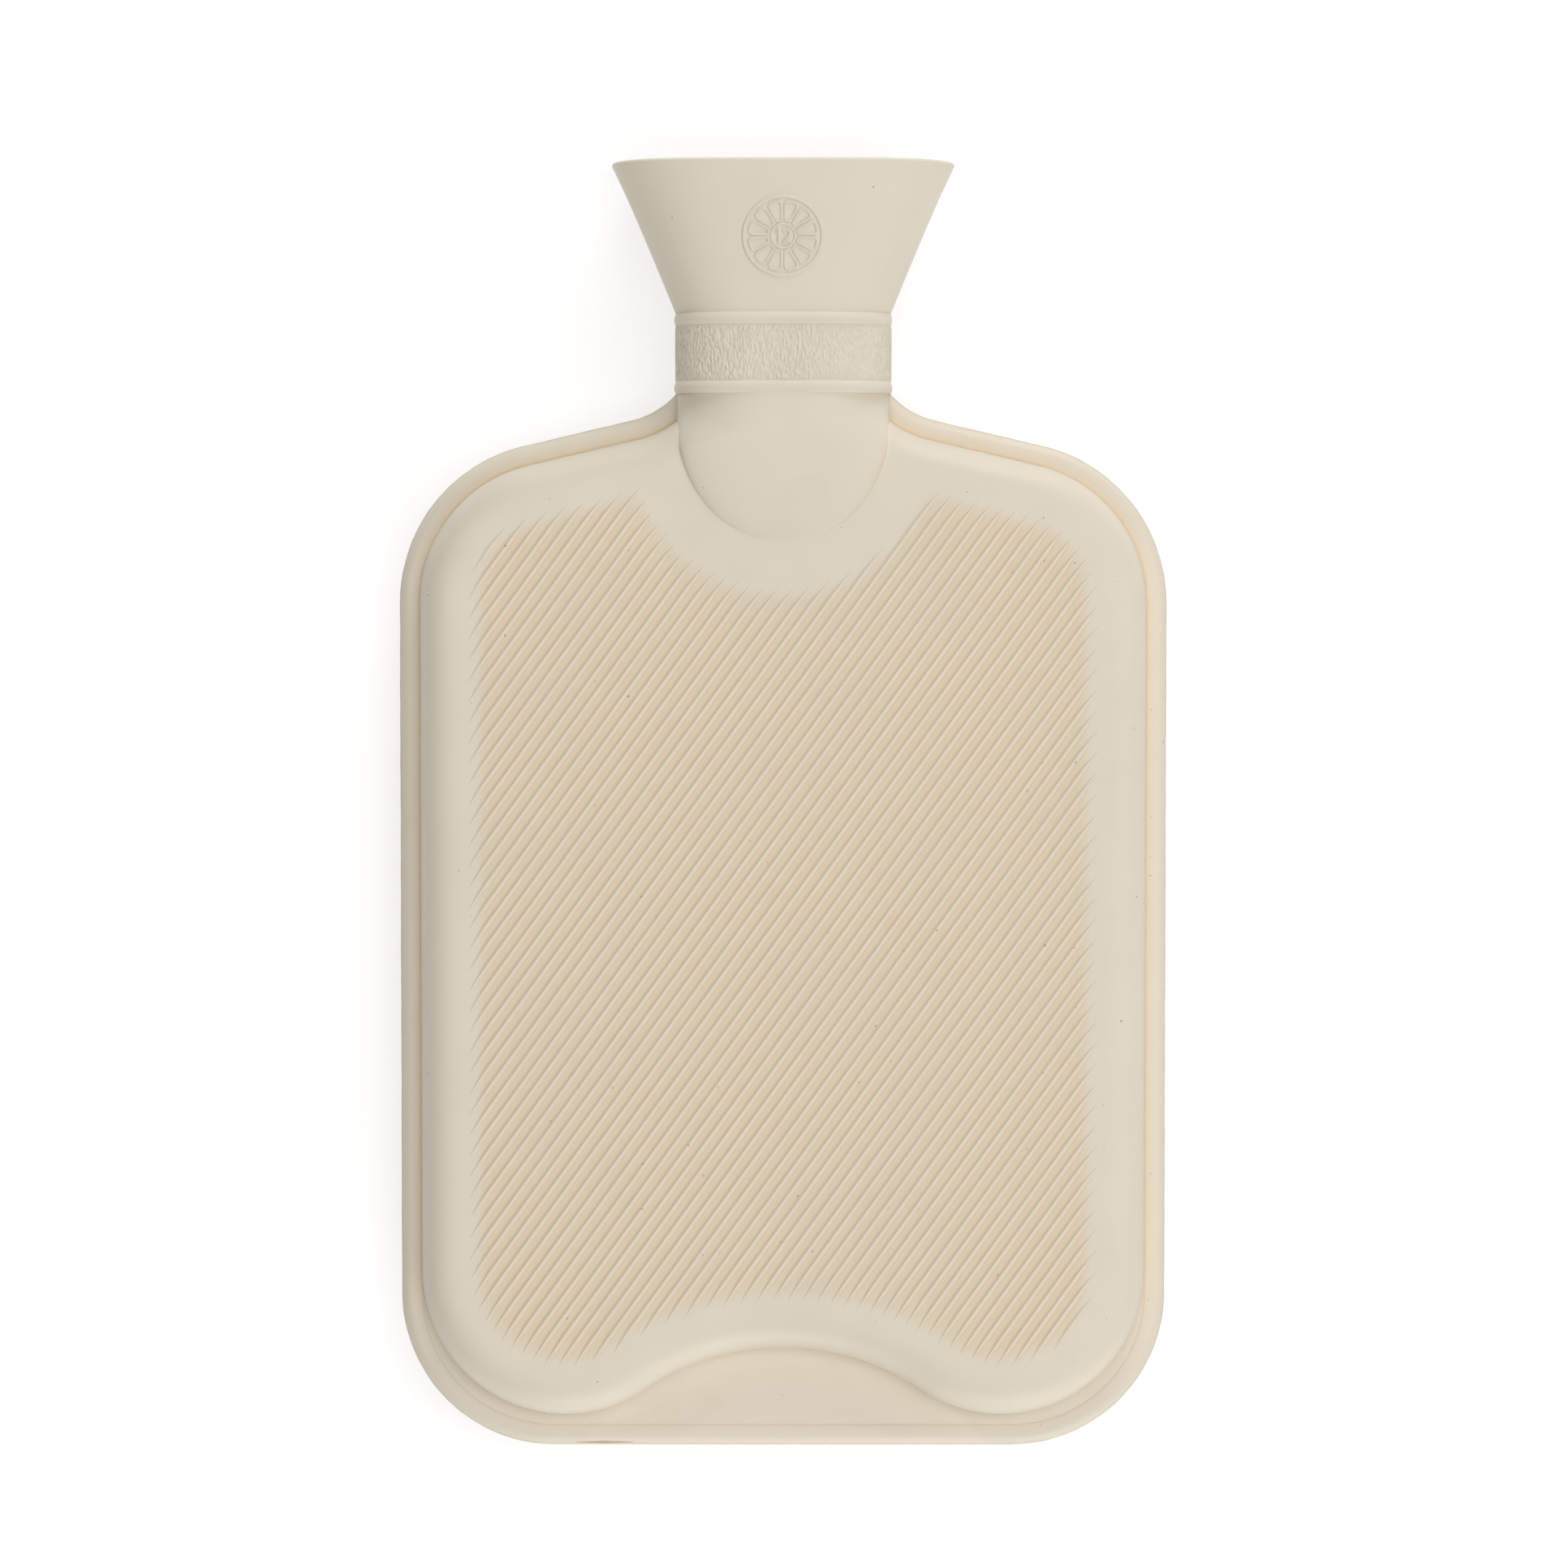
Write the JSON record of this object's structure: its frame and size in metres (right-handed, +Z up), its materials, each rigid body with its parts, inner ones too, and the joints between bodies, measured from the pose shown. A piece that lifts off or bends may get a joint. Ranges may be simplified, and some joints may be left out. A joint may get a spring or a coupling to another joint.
{
  "type": "hot water bottle",
  "caption": "Flat rubber hot water bottle with a diagonally ribbed front, a beaded rim, a flared filling funnel and a screw stopper with a finger ring.",
  "frame": {"origin": "on the ground, under the middle of the bottle's length and width", "axes": "+Y to the mouth, along the bottle's length; +Z up, out of the ribbed front; +X to the right as the ribbed front is seen with the mouth up"},
  "size_m": [0.2, 0.3344, 0.043],
  "materials": {
    "natural_rubber": "matte",
    "bush_brass": "satin",
    "washer_rubber": "matte",
    "stopper_plastic": "satin"
  },
  "bodies": {
    "bottle": {"front_shell": "natural_rubber", "back_shell": "natural_rubber", "neck_bush": "bush_brass"},
    "washer": {"stopper_washer": "washer_rubber"},
    "stopper": {"stopper_screw": "stopper_plastic", "stopper_grip": "stopper_plastic"}
  },
  "joints": [
    {"name": "stopper_rise", "type": "slide", "parent": "bottle", "child": "washer", "axis": [0, 1, 0], "range_m": [0, 0.06]},
    {"name": "stopper_turn", "type": "hinge", "parent": "washer", "child": "stopper", "pos_m": [0, 0.128, 0.02], "axis": [0, 1, 0], "range_deg": [0, 3600]}
  ],
  "couplings": [
    {"joint": "stopper_rise", "follows": "stopper_turn", "m_per_rad": 0.00095492}
  ]
}
